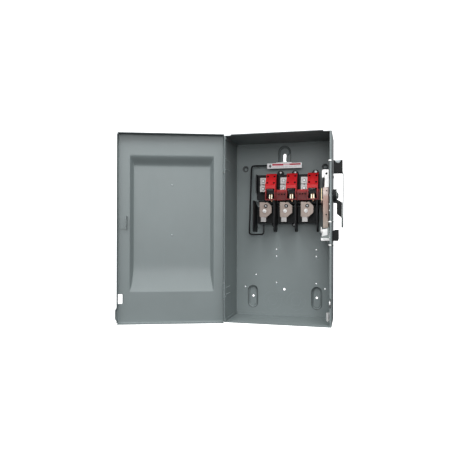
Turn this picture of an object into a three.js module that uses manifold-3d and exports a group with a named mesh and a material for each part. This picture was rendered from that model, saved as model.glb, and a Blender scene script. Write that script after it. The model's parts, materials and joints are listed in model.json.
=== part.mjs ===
// AC disconnect box: a wall-mounted, side-operated, three-pole non-fusible safety switch.
// Millimetres. The origin is the centre of the mounting plane, -Y points out of the wall
// to the person who opens the door, +X is the handle side and +Z is up.
import * as THREE from 'three';
import * as BufferGeometryUtils from 'three/addons/utils/BufferGeometryUtils.js';
import Module from 'manifold-3d';

const wasm = await Module();
wasm.setup();

// ---------- driving dimensions ----------
const LEFT = -173.5;                // outer face of the hinge-side wall
const RIGHT = 169;                  // outer face of the handle-side wall
const BOX_H = 610;
const FRONT = -177;                 // front edge of the box walls
const SHEET = 1.6;                  // steel sheet of the box and the door
const GAP = 0.3;                    // air between pieces that touch on the real object
const FOOT = 8;                     // how far the pressed feet stand off the back
const HALF_H = BOX_H / 2;
const BACK_OUT = -FOOT;             // outer face of the back wall
const BACK_IN = BACK_OUT - SHEET;   // inner face of the back wall
const WALL_IN = RIGHT - SHEET;      // inner face of the handle-side wall
const RETURN_LIP = 6;               // inward return along the front edge of the handle-side wall
const FLANGE = 10;                  // flange of an end cap, inside the walls

const KNUCKLE_R = 3.8;
const HINGE_X = LEFT - KNUCKLE_R - GAP;
const HINGE_Y = FRONT + 14;
const HINGE_LEVELS = { upper: 213, lower: -205 };
const HINGE_LENGTH = 52;
const HINGE_KNUCKLE = 20;           // the middle knuckle, on the box leaf
const PIN_R = 1.9;
const DOOR_OPEN = 160.3;            // degrees the door stands open at rest

const DOOR_IN = FRONT - 10.4;       // inner face of the door skin when closed
const DOOR_OUT = DOOR_IN - SHEET;
const DOOR_TOP = HALF_H + 8;
const DOOR_BOTTOM = -HALF_H - 6.2;
const DOOR_RIGHT = RIGHT + 2.9;
const DOOR_LEFT = HINGE_X - SHEET / 2;
const DOOR_FLANGE = 25;

const POLE_PITCH = 70.5;
const POLES = { left: 14 - POLE_PITCH, centre: 14, right: 14 + POLE_PITCH };
const CONTACT_SHIFT = 18.5;         // the contacts and hoods stand to the right of their lugs
const BASE_FRONT = -25;             // front face of the line base
const ROTOR = { y: -50, z: 89.5, r: 8 };
const HANDLE = { y: -106, z: 108 }; // axis of the handle shaft
const BLADE = { t: 3, half: 6, sunk: 3.5, tip: 38 };
const CRANK_X = { rotor: 130, link: 136, handle: 141 };
const CRANK_T = 3;
const HANDLE_PIN_R = 2.6;
const ROTOR_PIN_R = 2.6;
const HANDLE_CRANK = 16;            // throw of the handle crank
const ROTOR_CRANK = 30;             // throw of the rotor crank
const HANDLE_CRANK_ANGLE = -110;    // degrees from +Y towards +Z at rest
const ROTOR_CRANK_ANGLE = -60;

// ---------- helpers ----------
const rad = THREE.MathUtils.degToRad;
const root = new THREE.Group();

function material(color, roughness, metalness) {
  return () => new THREE.MeshStandardMaterial({ color, roughness, metalness });
}
const paint = material(0x7d8889, 0.45, 0.1);
const zinc = material(0xb9bcbd, 0.35, 0.9);
const brightZinc = material(0xe4e6e6, 0.3, 0.9);
const yellowZinc = material(0xb9958a, 0.4, 0.8);
const aluminium = material(0xc4ccd2, 0.35, 0.9);
const tinned = material(0xb5aaa2, 0.45, 0.8);
const copper = material(0xc98a5a, 0.35, 0.9);
const brass = material(0xd8c088, 0.35, 0.9);
const moulded = material(0x1c2022, 0.6, 0);
const redPlastic = material(0xc4141c, 0.4, 0);
const label = material(0xf4f2f2, 0.5, 0);

// Keeps the positions only and merges shared corners, as a solid needs.
function toSolid(geometry) {
  const bare = geometry.clone();
  bare.deleteAttribute('normal');
  bare.deleteAttribute('uv');
  const merged = BufferGeometryUtils.mergeVertices(bare, 1e-4);
  const mesh = new wasm.Mesh({
    numProp: 3,
    vertProperties: new Float32Array(merged.attributes.position.array),
    triVerts: new Uint32Array(merged.index.array),
  });
  return new wasm.Manifold(mesh);
}

function toGeometry(solid) {
  const mesh = solid.getMesh();
  const geometry = new THREE.BufferGeometry();
  geometry.setAttribute('position', new THREE.BufferAttribute(mesh.vertProperties, 3));
  geometry.setIndex(new THREE.BufferAttribute(mesh.triVerts, 1));
  geometry.computeVertexNormals();
  return geometry;
}

function combine(method, first, others) {
  let solid = toSolid(first);
  for (const other of others) solid = solid[method](toSolid(other));
  return toGeometry(solid);
}
const join = (first, ...others) => combine('add', first, others);
const cut = (first, ...others) => combine('subtract', first, others);
const common = (first, ...others) => combine('intersect', first, others);

function add(name, geometry, makeMaterial, parent = root) {
  const mesh = new THREE.Mesh(geometry, makeMaterial());
  mesh.name = name;
  parent.add(mesh);
  return mesh;
}

function box(x0, x1, y0, y1, z0, z1) {
  const geometry = new THREE.BoxGeometry(Math.abs(x1 - x0), Math.abs(y1 - y0), Math.abs(z1 - z0));
  return geometry.translate((x0 + x1) / 2, (y0 + y1) / 2, (z0 + z1) / 2);
}

function polygon(points) {
  return new THREE.Shape(points.map(([u, v]) => new THREE.Vector2(u, v)));
}

function extrude(shape, depth, segments = 6) {
  return new THREE.ExtrudeGeometry(shape, { depth, bevelEnabled: false, curveSegments: segments });
}

// A plan outline (x, y) drawn up along Z.
function alongZ(shape, z0, z1, segments) {
  return extrude(shape, z1 - z0, segments).translate(0, 0, z0);
}

// A side outline (y, z) drawn along X.
function alongX(shape, x0, x1, segments) {
  const turn = new THREE.Matrix4().makeBasis(
    new THREE.Vector3(0, 1, 0), new THREE.Vector3(0, 0, 1), new THREE.Vector3(1, 0, 0));
  return extrude(shape, x1 - x0, segments).applyMatrix4(turn).translate(x0, 0, 0);
}

// A front outline (x, z) drawn from the deeper y to the one nearer the front.
function towardFront(shape, yDeep, yNear, segments) {
  const turn = new THREE.Matrix4().makeBasis(
    new THREE.Vector3(1, 0, 0), new THREE.Vector3(0, 0, 1), new THREE.Vector3(0, -1, 0));
  return extrude(shape, yDeep - yNear, segments).applyMatrix4(turn).translate(0, yDeep, 0);
}

function circle(u, v, r) {
  const shape = new THREE.Shape();
  shape.absarc(u, v, r, 0, Math.PI * 2, false);
  return shape;
}

const rodX = (y, z, r, x0, x1, segments = 8) => alongX(circle(y, z, r), x0, x1, segments);
const rodY = (x, z, r, yDeep, yNear, segments = 6) =>
  towardFront(circle(x, z, r), yDeep, yNear, segments);
const rodZ = (x, y, r, z0, z1, segments = 8) => alongZ(circle(x, y, r), z0, z1, segments);

// An upright slot with round ends, in the front view.
function slot(x, z, halfWidth, halfHeight) {
  const straight = halfHeight - halfWidth;
  const shape = new THREE.Shape();
  shape.absarc(x, z + straight, halfWidth, 0, Math.PI, false);
  shape.absarc(x, z - straight, halfWidth, Math.PI, Math.PI * 2, false);
  return shape;
}

// A plate outline between two pivots, with round ends of their own radii.
function linkOutline(ax, ay, ar, bx, by, br) {
  const angle = Math.atan2(by - ay, bx - ax);
  const shape = new THREE.Shape();
  shape.absarc(ax, ay, ar, angle + Math.PI / 2, angle + Math.PI * 1.5, false);
  shape.absarc(bx, by, br, angle - Math.PI / 2, angle + Math.PI / 2, false);
  return shape;
}

// The outline of a bent strip of even thickness: a centre line with rounded corners.
function bentStrip(points, thickness, radius = 2, steps = 3) {
  const left = [];
  const right = [];
  const push = (x, y, nx, ny) => {
    left.push([x + nx * thickness / 2, y + ny * thickness / 2]);
    right.push([x - nx * thickness / 2, y - ny * thickness / 2]);
  };
  const direction = (a, b) => {
    const length = Math.hypot(b[0] - a[0], b[1] - a[1]);
    return [(b[0] - a[0]) / length, (b[1] - a[1]) / length];
  };
  const last = points.length - 1;
  const first = direction(points[0], points[1]);
  push(points[0][0], points[0][1], -first[1], first[0]);
  for (let i = 1; i < last; i++) {
    const din = direction(points[i - 1], points[i]);
    const dout = direction(points[i], points[i + 1]);
    const turn = Math.atan2(din[0] * dout[1] - din[1] * dout[0], din[0] * dout[0] + din[1] * dout[1]);
    const trim = radius * Math.tan(Math.abs(turn) / 2);
    const side = Math.sign(turn);
    const start = [points[i][0] - din[0] * trim, points[i][1] - din[1] * trim];
    const centre = [start[0] - din[1] * side * radius, start[1] + din[0] * side * radius];
    for (let k = 0; k <= steps; k++) {
      const a = turn * k / steps;
      const nx = -din[1] * Math.cos(a) - din[0] * Math.sin(a);
      const ny = din[0] * Math.cos(a) - din[1] * Math.sin(a);
      push(centre[0] - nx * side * radius, centre[1] - ny * side * radius, nx, ny);
    }
  }
  const end = direction(points[last - 1], points[last]);
  push(points[last][0], points[last][1], -end[1], end[0]);
  return polygon([...left, ...right.reverse()]);
}

// A pad pressed towards the wall: its flat is at yFlat and its sides lean out by lean.
function pressed(makeOutline, lean, yFlat, yNear) {
  const deep = new THREE.ExtrudeGeometry(makeOutline(0), {
    depth: 0.01, bevelEnabled: true, bevelThickness: Math.abs(yNear - yFlat), bevelSize: lean,
    bevelSegments: 1, curveSegments: 7 });
  const turn = new THREE.Matrix4().makeBasis(
    new THREE.Vector3(1, 0, 0), new THREE.Vector3(0, 0, 1), new THREE.Vector3(0, -1, 0));
  return deep.applyMatrix4(turn).translate(0, yNear, 0);
}

// ---------- box ----------
const FEET_X = 112;
const FEET_Z = -239;
const KEYHOLE_Z = 260;
const PRESS_LEAN = 6.5;              // how far the sides of a pressing lean out
const SMALL_HOLE_R = 1.9;
const SIDE_BOLTS = [{ y: -90, z: 170 }, { y: -112, z: 25 }, { y: -115, z: -51 }];

function archOutline(grow) {
  const half = 15.8 + grow;
  const shape = new THREE.Shape();
  shape.moveTo(half, 222 - grow);
  shape.absarc(0, 270.6, half, 0, Math.PI, false);
  shape.lineTo(-half, 222 - grow);
  return shape;
}

function enclosureWrap() {
  const mid = SHEET / 2;
  const outline = bentStrip([
    [LEFT + mid, FRONT], [LEFT + mid, BACK_OUT - mid], [RIGHT - mid, BACK_OUT - mid],
    [RIGHT - mid, FRONT + mid], [RIGHT - RETURN_LIP, FRONT + mid]], SHEET);
  const reach = HALF_H - SHEET - GAP;
  const sheet = alongZ(outline, -reach, reach);
  const slab = box(LEFT + 4, RIGHT - 4, BACK_IN, 0, -reach, reach);
  const outlines = [
    (grow) => slot(-FEET_X, FEET_Z, 11.5 + grow, 33 + grow),
    (grow) => slot(FEET_X, FEET_Z, 11.5 + grow, 33 + grow),
    (grow) => archOutline(grow),
    (grow) => slot(-140, 215, 4 + grow, 4.01 + grow),
    (grow) => slot(140, 215, 4 + grow, 4.01 + grow),
  ];
  const pads = outlines.map((outlineOf) =>
    common(pressed(() => outlineOf(SHEET / 2), PRESS_LEAN, 0, BACK_IN - 0.01), slab));
  const hollows = outlines.map((outlineOf) => pressed(outlineOf, PRESS_LEAN, -SHEET, BACK_IN - 0.4));
  const body = cut(join(sheet, ...pads), ...hollows);

  const holes = [];
  for (const x of [-FEET_X, FEET_X]) holes.push(rodY(x, FEET_Z + 1, 3.7, 5, -20));
  holes.push(towardFront(slot(0, KEYHOLE_Z - 8, 5.2, 14), 5, -20));
  holes.push(rodY(0, KEYHOLE_Z - 28, 9.5, 5, -20, 8));
  for (const x of [-28, 110.5]) {
    for (const z of [-71, -94.5, -188]) holes.push(rodY(x, z, SMALL_HOLE_R, 5, -20, 5));
  }
  for (const x of [-140, 140]) holes.push(rodY(x, -205.3, SMALL_HOLE_R, 5, -20, 5));
  holes.push(rodY(-101, -161, SMALL_HOLE_R, 5, -20, 5));
  holes.push(rodY(0, -211, 4, 5, -20, 6));
  holes.push(rodX(HANDLE.y, HANDLE.z, 7, WALL_IN - 5, RIGHT + 5));
  for (const bolt of SIDE_BOLTS) holes.push(rodX(bolt.y, bolt.z, 2.9, WALL_IN - 5, RIGHT + 5, 5));
  holes.push(box(159, WALL_IN - 0.5, FRONT - 5, FRONT + 4, -244, -215));

  const grooves = [];
  for (const x of [-41.5, 41.5]) {
    for (const r of [32, 16]) {
      const ring = circle(x, -251, r + 0.5);
      ring.holes.push(circle(x, -251, r - 0.5));
      grooves.push(towardFront(ring, BACK_IN + 0.6, BACK_IN - 3, 9));
    }
  }
  return cut(body, ...holes, ...grooves);
}
add('enclosure_wrap', enclosureWrap(), paint);

const KNOCKOUTS = [-112, -67, -22, 23, 68, 113];
const KNOCKOUT_Y = -42;
const DRIP = { x0: -152.5, x1: 143.6, out: 6, up: 2.4 };

// An end cap: the plate closes the box and its three flanges stand inside the walls.
// The top one ends in a drip lip at the front, and the bottom one in a short flange.
function endCap(side) {
  const outer = side * HALF_H;
  const inner = side * (HALF_H - SHEET);
  const deep = inner + side * 0.5;
  const flangeEnd = inner - side * FLANGE;
  const backY = BACK_IN - GAP;
  const x0 = LEFT + SHEET + GAP;
  const x1 = WALL_IN - GAP;
  const relief = 3;
  const parts = [
    box(x0 + relief, x1 - relief, backY - SHEET, backY, flangeEnd, deep),
    box(x0, x0 + SHEET, FRONT + relief, backY - relief, flangeEnd, deep),
    box(x1 - SHEET, x1, FRONT + relief, backY - relief, flangeEnd, deep)];
  if (side > 0) {
    const mid = outer - SHEET / 2;
    const lip = [[FRONT + 3, mid], [FRONT - 0.5, mid], [FRONT - DRIP.out, mid + DRIP.up]];
    parts.push(alongX(bentStrip(lip, SHEET, 1), DRIP.x0, DRIP.x1));
  } else {
    parts.push(box(LEFT + 18, RIGHT - RETURN_LIP - 1, FRONT, FRONT + SHEET, inner + 5, deep));
  }
  const cap = join(box(LEFT, RIGHT, FRONT, BACK_OUT, inner, outer), ...parts);
  if (side > 0) return cap;
  const grooves = KNOCKOUTS.map((x) => {
    const edge = circle(x, KNOCKOUT_Y, 15.4);
    edge.holes.push(circle(x, KNOCKOUT_Y, 14.5));
    return alongZ(edge, inner - 0.7, inner + 1, 8);
  });
  return cut(cap, ...grooves);
}
add('top_cap', endCap(1), paint);
add('bottom_cap', endCap(-1), paint);

const HUB_PLATE = { half: 42, y: -80, t: 1.4 };
add('hub_plate', box(-HUB_PLATE.half, HUB_PLATE.half, HUB_PLATE.y - HUB_PLATE.half,
  HUB_PLATE.y + HUB_PLATE.half, HALF_H + GAP, HALF_H + GAP + HUB_PLATE.t), paint);

// ---------- hinges ----------
const LEAF_X0 = LEFT - GAP - SHEET;
const LEAF_X1 = LEFT - GAP;

function knuckle(z0, z1) {
  const ring = circle(HINGE_X, HINGE_Y, KNUCKLE_R);
  ring.holes.push(circle(HINGE_X, HINGE_Y, PIN_R + GAP));
  return alongZ(ring, z0, z1, 6);
}

function boxLeaf(level) {
  const half = HINGE_LENGTH / 2 - 2;
  const mid = HINGE_KNUCKLE / 2;
  const leaf = box(LEAF_X0, LEAF_X1, HINGE_Y + 8, HINGE_Y + 48, level - half, level + half);
  const neck = box(LEAF_X0, LEAF_X1, HINGE_Y, HINGE_Y + 9, level - mid, level + mid);
  return join(leaf, neck, knuckle(level - mid, level + mid));
}

const door = new THREE.Group();
door.position.set(HINGE_X, HINGE_Y, 0);
door.rotation.z = rad(-DOOR_OPEN);
root.add(door);
const onDoor = (geometry) => geometry.translate(-HINGE_X, -HINGE_Y, 0);

// The door leaf is a plate against the inside of the door's flange, with a knuckle at each end.
function doorLeaf(level) {
  const half = HINGE_LENGTH / 2;
  const mid = HINGE_KNUCKLE / 2 + GAP;
  const x0 = DOOR_LEFT + SHEET + GAP;
  const x1 = x0 + SHEET;
  const parts = [box(x0, x1, DOOR_IN + GAP, HINGE_Y - KNUCKLE_R - GAP, level - half, level + half)];
  for (const [z0, z1] of [[level - half, level - mid], [level + mid, level + half]]) {
    parts.push(knuckle(z0, z1));
    parts.push(box(x0, x1, HINGE_Y - KNUCKLE_R - 1, HINGE_Y, z0, z1));
  }
  return cut(join(...parts), rodZ(HINGE_X, HINGE_Y, PIN_R + GAP, level - half - 1, level + half + 1, 6));
}

for (const [name, level] of Object.entries(HINGE_LEVELS)) {
  const half = HINGE_LENGTH / 2;
  add(`${name}_hinge_box_leaf`, boxLeaf(level), paint);
  add(`${name}_hinge_pin`, rodZ(HINGE_X, HINGE_Y, PIN_R, level - half - 1.5, level + half + 1.5, 6), zinc);
  add(`${name}_hinge_door_leaf`, onDoor(doorLeaf(level)), paint, door);
}

// ---------- door ----------
const PAN = { left: -144.7, right: 133, top: 243, bottom: -207.7, depth: 20, side: 12.6, slope: 35,
  scoop: 100 };
const LATCH_BUMP = { top: -257, bottom: -298.5, slope: 6, proud: 6 };
const DOOR_SLOT = { x0: 155.8, x1: 169.8, z0: -245.8, z1: -215.3 };

// The pressed bulge of the door, grown outwards by the given amount.
function bulge(grow, back) {
  const floorY = DOOR_IN - PAN.depth - grow;
  const scoopR = (PAN.scoop ** 2 + PAN.depth ** 2) / (2 * PAN.depth);
  const scoopTop = PAN.bottom + PAN.scoop;
  const profile = [[back, PAN.top + grow], [DOOR_IN, PAN.top + grow], [floorY, PAN.top - PAN.slope + grow]];
  const steps = 8;
  for (let k = 0; k <= steps; k++) {
    const run = PAN.scoop * k / steps;
    const rise = scoopR - Math.sqrt(scoopR ** 2 - run ** 2);
    profile.push([floorY + rise, scoopTop - run - (k === steps ? grow * 2 : 0)]);
  }
  profile.push([back, PAN.bottom - grow * 2]);
  const long = alongX(polygon(profile), PAN.left - 10, PAN.right + 10);
  const plan = polygon([[PAN.left - grow, back], [PAN.left - grow, DOOR_IN],
    [PAN.left + PAN.side - grow, floorY], [PAN.right - PAN.side + grow, floorY],
    [PAN.right + grow, DOOR_IN], [PAN.right + grow, back]]);
  const across = alongZ(plan, PAN.bottom - 20, PAN.top + 20);
  return common(long, across);
}

function doorPan() {
  const flangeBack = DOOR_OUT + DOOR_FLANGE;
  const hingeEdge = HINGE_Y - KNUCKLE_R - 0.5;
  const shell = join(
    box(DOOR_LEFT, DOOR_RIGHT, DOOR_OUT, DOOR_IN, DOOR_BOTTOM, DOOR_TOP),
    box(DOOR_LEFT, DOOR_RIGHT, DOOR_OUT, flangeBack, DOOR_TOP - SHEET, DOOR_TOP),
    box(DOOR_LEFT, DOOR_RIGHT, DOOR_OUT, flangeBack, DOOR_BOTTOM, DOOR_BOTTOM + SHEET),
    box(DOOR_RIGHT - SHEET, DOOR_RIGHT, DOOR_OUT, flangeBack, DOOR_BOTTOM, DOOR_TOP),
    box(DOOR_LEFT, DOOR_LEFT + SHEET, DOOR_OUT, hingeEdge, DOOR_BOTTOM, DOOR_TOP),
    bulge(SHEET, DOOR_IN));
  const { top: bt, bottom: bb, slope, proud } = LATCH_BUMP;
  const bumpOutline = (grow, bumpRoot) => {
    const peak = DOOR_RIGHT + proud - SHEET + grow;
    return polygon([[bumpRoot, bt + grow], [DOOR_RIGHT, bt + grow], [peak, bt - slope + grow],
      [peak, bb + slope - grow], [DOOR_RIGHT, bb - grow], [bumpRoot, bb - grow]]);
  };
  const bumped = join(shell, towardFront(bumpOutline(SHEET, DOOR_RIGHT - SHEET / 2), flangeBack, DOOR_OUT));
  return cut(bumped, bulge(0, DOOR_IN + 3),
    towardFront(bumpOutline(0, DOOR_RIGHT - 2 * SHEET), flangeBack + 5, DOOR_IN),
    box(DOOR_SLOT.x0, DOOR_SLOT.x1, DOOR_OUT - 5, DOOR_IN + 5, DOOR_SLOT.z0, DOOR_SLOT.z1));
}
add('door', onDoor(doorPan()), paint, door);

function doorCatch() {
  const y = DOOR_IN + GAP;
  const plate = box(141.2, 164.3, y, y + SHEET, -1, 41.5);
  const tab = alongX(polygon([[y, -1], [y + 14, -1], [y + 14, 9], [y + 22, 9], [y + 22, 41.5], [y, 41.5]]),
    141.2, 141.2 + SHEET);
  return cut(join(plate, tab), box(138, 146, y + 8, y + 17, 12, 28));
}
add('door_catch', onDoor(doorCatch()), paint, door);

// ---------- door fastenings on the box ----------
function padlockStaple() {
  const shape = new THREE.Shape();
  shape.moveTo(-152, -241);
  shape.lineTo(-152, -218);
  shape.lineTo(-194, -218);
  shape.absarc(-194.5, -229.5, 11.5, Math.PI / 2, Math.PI * 1.5, false);
  shape.holes.push(circle(-195, -229.5, 4.8));
  return alongX(shape, 163.5, 166.2, 6);
}
add('padlock_staple', padlockStaple(), zinc);

const springOutline = bentStrip([[166.3, -134], [166.3, -150], [152.5, -162], [158, -173]], 1, 1.5);
add('latch_spring', alongZ(springOutline, -287, -262), brightZinc);

// ---------- line side ----------
const BASE_SCREWS = [-12, 38.8, 109];

function lineBase() {
  const outline = polygon([[-95, 103], [121, 103], [121, 190], [-95, 190]]);
  const parts = [box(-95, -91, BASE_FRONT + 1, -48, 126, 190)];
  for (const x of BASE_SCREWS) parts.push(rodY(x, 193, 11.5, BACK_IN - GAP, BASE_FRONT, 7));
  for (const pole of Object.values(POLES)) {
    const rib = pole + POLE_PITCH / 2;
    parts.push(box(rib - 1.5, rib + 1.5, BASE_FRONT + 1, -52, 128, 188));
  }
  const body = join(towardFront(outline, BACK_IN - GAP, BASE_FRONT), ...parts);
  const screwHoles = BASE_SCREWS.map((x) => rodY(x, 194.5, 3, 0, -40, 5));
  return cut(body, ...screwHoles);
}
add('line_base', lineBase(), moulded);

// A stepped lug with one upright wire bore and two set-screw bores.
function lineLug(pole) {
  const back = BASE_FRONT - GAP;
  const profile = polygon([[back, 129], [-50, 129], [-50, 151], [-42, 152.5], [-42, 155], [-46, 156],
    [-46, 178], [back, 178]]);
  const block = alongX(profile, pole - 23.3, pole + 23.3);
  return cut(block, rodZ(pole - 12, -35.5, 7, 140, 200, 6),
    rodY(pole - 12, 167, 3.6, -36, -60, 5), rodY(pole - 12, 140, 3.6, -44, -60, 5));
}

function lineJaw(x) {
  const outline = bentStrip([[x - 4.6, -64], [x - 2.7, -58], [x - 2.7, BASE_FRONT - 2],
    [x + 2.7, BASE_FRONT - 2], [x + 2.7, -58], [x + 4.6, -64]], 1.4, 1);
  return alongZ(outline, 106, 126);
}

const SHIELD = { wall: 2, half: 17.5, bottom: 98, top: 190, bridgeTop: 134, back: -53, face: -87 };

function lineShield() {
  const { wall, half, bottom, top, bridgeTop, back, face } = SHIELD;
  const hood = (inset, open) => polygon([
    [back + open, top - inset], [back - 4, top - inset], [face + 4 + inset, 151 - inset],
    [face + inset, 148 - inset], [face + inset, bottom - open], [back + open, bottom - open]]);
  const centres = Object.values(POLES).map((pole) => pole + CONTACT_SHIFT);
  const hoods = centres.map((x) => alongX(hood(0, 0), x - half, x + half));
  const bridge = box(centres[0] - half, centres[2] + half + 4, -63, -61, bottom, bridgeTop);
  const ledge = box(centres[0] - half, centres[2] + half + 4, -72, -61, bottom, bottom + wall);
  const cuts = [];
  for (const x of centres) {
    cuts.push(alongX(hood(wall, 3), x - half + wall, x + half - wall));
    cuts.push(towardFront(polygon([[x - 15, 137], [x - 13, 120], [x - 15.4, 102], [x + 15.4, 102],
      [x + 13, 120], [x + 15, 137]]), face + 8, face - 5));
    for (const [dx, z] of [[-12, 180], [12, 180], [-12, 156], [12, 156]]) {
      cuts.push(rodY(x + dx, z, 2.8, back - 2, face - 5, 4));
    }
  }
  for (const x of [centres[0] + POLE_PITCH / 2, centres[1] + POLE_PITCH / 2]) {
    for (const dx of [-9, 0, 9]) cuts.push(rodY(x + dx, 119, 3, -50, -70, 4));
  }
  return cut(join(hoods[0], bridge, ledge, hoods[1], hoods[2]), ...cuts);
}
add('line_shield', lineShield(), redPlastic);

// ---------- rotor ----------
function crossbar() {
  const bar = rodX(ROTOR.y, ROTOR.z, ROTOR.r, -84, CRANK_X.rotor - GAP, 8);
  const slots = Object.values(POLES).map((pole) => {
    const x = pole + CONTACT_SHIFT;
    const t = BLADE.t / 2 + GAP;
    const half = BLADE.half + GAP;
    return box(x - t, x + t, ROTOR.y - half, ROTOR.y + half, ROTOR.z - BLADE.sunk - GAP, ROTOR.z + 20);
  });
  return cut(bar, ...slots);
}
add('crossbar', crossbar(), moulded);

function blade(x) {
  const { y, z } = ROTOR;
  const { t, half, sunk, tip } = BLADE;
  const shape = polygon([[y - half, z - sunk], [y + half, z - sunk], [y + half, z + tip - 5],
    [y + half - 3, z + tip], [y - half + 3, z + tip], [y - half, z + tip - 5]]);
  return alongX(shape, x - t / 2, x + t / 2);
}

const polar = (axis, radius, degrees) =>
  [axis.y + radius * Math.cos(rad(degrees)), axis.z + radius * Math.sin(rad(degrees))];
const HANDLE_PIN = polar(HANDLE, HANDLE_CRANK, HANDLE_CRANK_ANGLE);
const ROTOR_PIN = polar(ROTOR, ROTOR_CRANK, ROTOR_CRANK_ANGLE);

function rotorCrank() {
  const x = CRANK_X.rotor;
  const arm = alongX(linkOutline(ROTOR.y, ROTOR.z, 11, ...ROTOR_PIN, 7), x, x + CRANK_T, 7);
  return join(arm, rodX(...ROTOR_PIN, ROTOR_PIN_R, x + 1, CRANK_X.link + CRANK_T + 1.5, 6));
}
add('rotor_crank', rotorCrank(), yellowZinc);

// ---------- load side ----------
function loadBase() {
  const front = -36;
  const back = BACK_IN - GAP;
  const parts = [];
  for (const pole of Object.values(POLES)) parts.push(box(pole - 15, pole + 12, front + 1, -37.2, 40, 76));
  parts.push(rodY(36, 16, 8, back, -24, 6));
  parts.push(rodY(-34, 16, 8, back, -24, 6));
  const body = join(box(-90, 121, back, front, 20, 78), ...parts);
  return cut(body, rodY(36, 15, 3, 0, -40, 5), rodY(-34, 15, 3, 0, -40, 5));
}
add('load_base', loadBase(), moulded);

const PLATE_FRONT = -67;
const PLATE_BACK = -64;
const RING_SCREW = { dx: 0, z: 79 };
const SET_SCREW = { dx: -4.3, z: 61.8 };

function loadTerminal(pole) {
  const shape = polygon([[-21.5, 92], [6, 92], [20, 79], [20, 56], [3, 41], [-19, 41], [-21.5, 44]]
    .map(([dx, z]) => [pole + dx, z]));
  return cut(towardFront(shape, PLATE_BACK, PLATE_FRONT),
    rodY(pole + RING_SCREW.dx, RING_SCREW.z, 2.8, PLATE_BACK + 5, PLATE_FRONT - 5, 5),
    rodY(pole + SET_SCREW.dx, SET_SCREW.z, 4.2, PLATE_BACK + 5, PLATE_FRONT - 5, 6),
    rodY(pole - 2, 93, 3, PLATE_BACK + 5, PLATE_FRONT - 5, 5));
}

function loadLug(pole) {
  const block = box(pole - 17.5, pole + 0.5, -37.5, PLATE_BACK + GAP, 25, 70);
  return cut(block, rodZ(pole - 8.5, -50, 6.8, 20, 55, 7),
    rodY(pole + SET_SCREW.dx, SET_SCREW.z, 3.4, -52, PLATE_BACK - 5, 6));
}

function terminalScrew(pole) {
  const x = pole + RING_SCREW.dx;
  const head = rodY(x, RING_SCREW.z, 5.6, PLATE_FRONT - GAP, PLATE_FRONT - 2.6, 8);
  const shank = rodY(x, RING_SCREW.z, 2.4, -60.5, PLATE_FRONT - 1, 5);
  const socket = rodY(x, RING_SCREW.z, 2.6, PLATE_FRONT - 1.4, PLATE_FRONT - 5, 3);
  return cut(join(head, shank), socket);
}

for (const [name, pole] of Object.entries(POLES)) {
  const contact = pole + CONTACT_SHIFT;
  add(`${name}_line_lug`, lineLug(pole), aluminium);
  add(`${name}_line_jaw`, lineJaw(contact), brass);
  add(`${name}_blade`, blade(contact), copper);
  add(`${name}_load_terminal`, loadTerminal(pole), tinned);
  add(`${name}_load_lug`, loadLug(pole), aluminium);
  add(`${name}_terminal_screw`, terminalScrew(pole), zinc);
}

// ---------- phase barriers ----------
const BARRIER = { t: 3, front: 112, bottom: -9.6, round: 16 };

function phaseBarrier(x) {
  const shape = new THREE.Shape();
  shape.moveTo(-36.4, 96);
  shape.lineTo(-BARRIER.front, 96);
  shape.lineTo(-BARRIER.front, BARRIER.bottom + BARRIER.round);
  shape.absarc(-BARRIER.front + BARRIER.round, BARRIER.bottom + BARRIER.round, BARRIER.round,
    Math.PI, Math.PI * 1.5, false);
  shape.absarc(-36.4 - BARRIER.round, BARRIER.bottom + BARRIER.round, BARRIER.round, -Math.PI / 2, 0, false);
  const notch = ROTOR.r + 1.5;
  return cut(alongX(shape, x - BARRIER.t / 2, x + BARRIER.t / 2, 5),
    rodX(ROTOR.y, ROTOR.z, notch, x - 5, x + 5, 7),
    box(x - 5, x + 5, ROTOR.y - notch, ROTOR.y + notch, ROTOR.z, 120));
}
for (let i = 0; i < 4; i++) {
  add(`phase_barrier_${i + 1}`, phaseBarrier(POLES.left + POLE_PITCH * (i - 0.5)), moulded);
}

// ---------- label and its bracket ----------
const LABEL_Y = -33;
add('label_plate', box(-57.5, 63, LABEL_Y - 1.5, LABEL_Y, 208.5, 229.5), label);

function labelBracket() {
  const y = BACK_IN - GAP;
  const top = 233;
  const outline = bentStrip([[y - 0.8, 217], [y - 0.8, top], [LABEL_Y + 1.2, top],
    [LABEL_Y + 1.2, 212]], 1.6, 1.5);
  return cut(alongX(outline, -27, 27), box(-19, 19, LABEL_Y + 2.2, y + 3, 200, 250));
}
add('label_bracket', labelBracket(), zinc);

// A curve that stops at each of its points, so that long straights cost one step.
class PointCurve extends THREE.Curve {
  constructor(points) {
    super();
    this.points = points;
  }
  getPoint(t) {
    const last = this.points.length - 1;
    const at = Math.min(t * last, last - 1e-9);
    const i = Math.floor(at + 1e-9);
    return this.points[i].clone().lerp(this.points[Math.min(i + 1, last)], at - i);
  }
  getTangent(t) {
    const last = this.points.length - 1;
    const i = Math.round(t * last);
    const before = this.points[Math.max(i - 1, 0)];
    const after = this.points[Math.min(i + 1, last)];
    const here = this.points[i];
    const a = here.clone().sub(before).normalize();
    const b = after.clone().sub(here).normalize();
    return a.add(b).normalize();
  }
  getPointAt(t) { return this.getPoint(t); }
  getTangentAt(t) { return this.getTangent(t); }
}

function roundedPath(corners, radius, steps) {
  const points = [corners[0]];
  for (let i = 1; i < corners.length - 1; i++) {
    const start = corners[i].clone().lerp(corners[i - 1], radius / corners[i].distanceTo(corners[i - 1]));
    const end = corners[i].clone().lerp(corners[i + 1], radius / corners[i].distanceTo(corners[i + 1]));
    const bend = new THREE.QuadraticBezierCurve3(start, corners[i], end);
    points.push(...bend.getPoints(steps));
  }
  points.push(corners[corners.length - 1]);
  return points;
}

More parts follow.
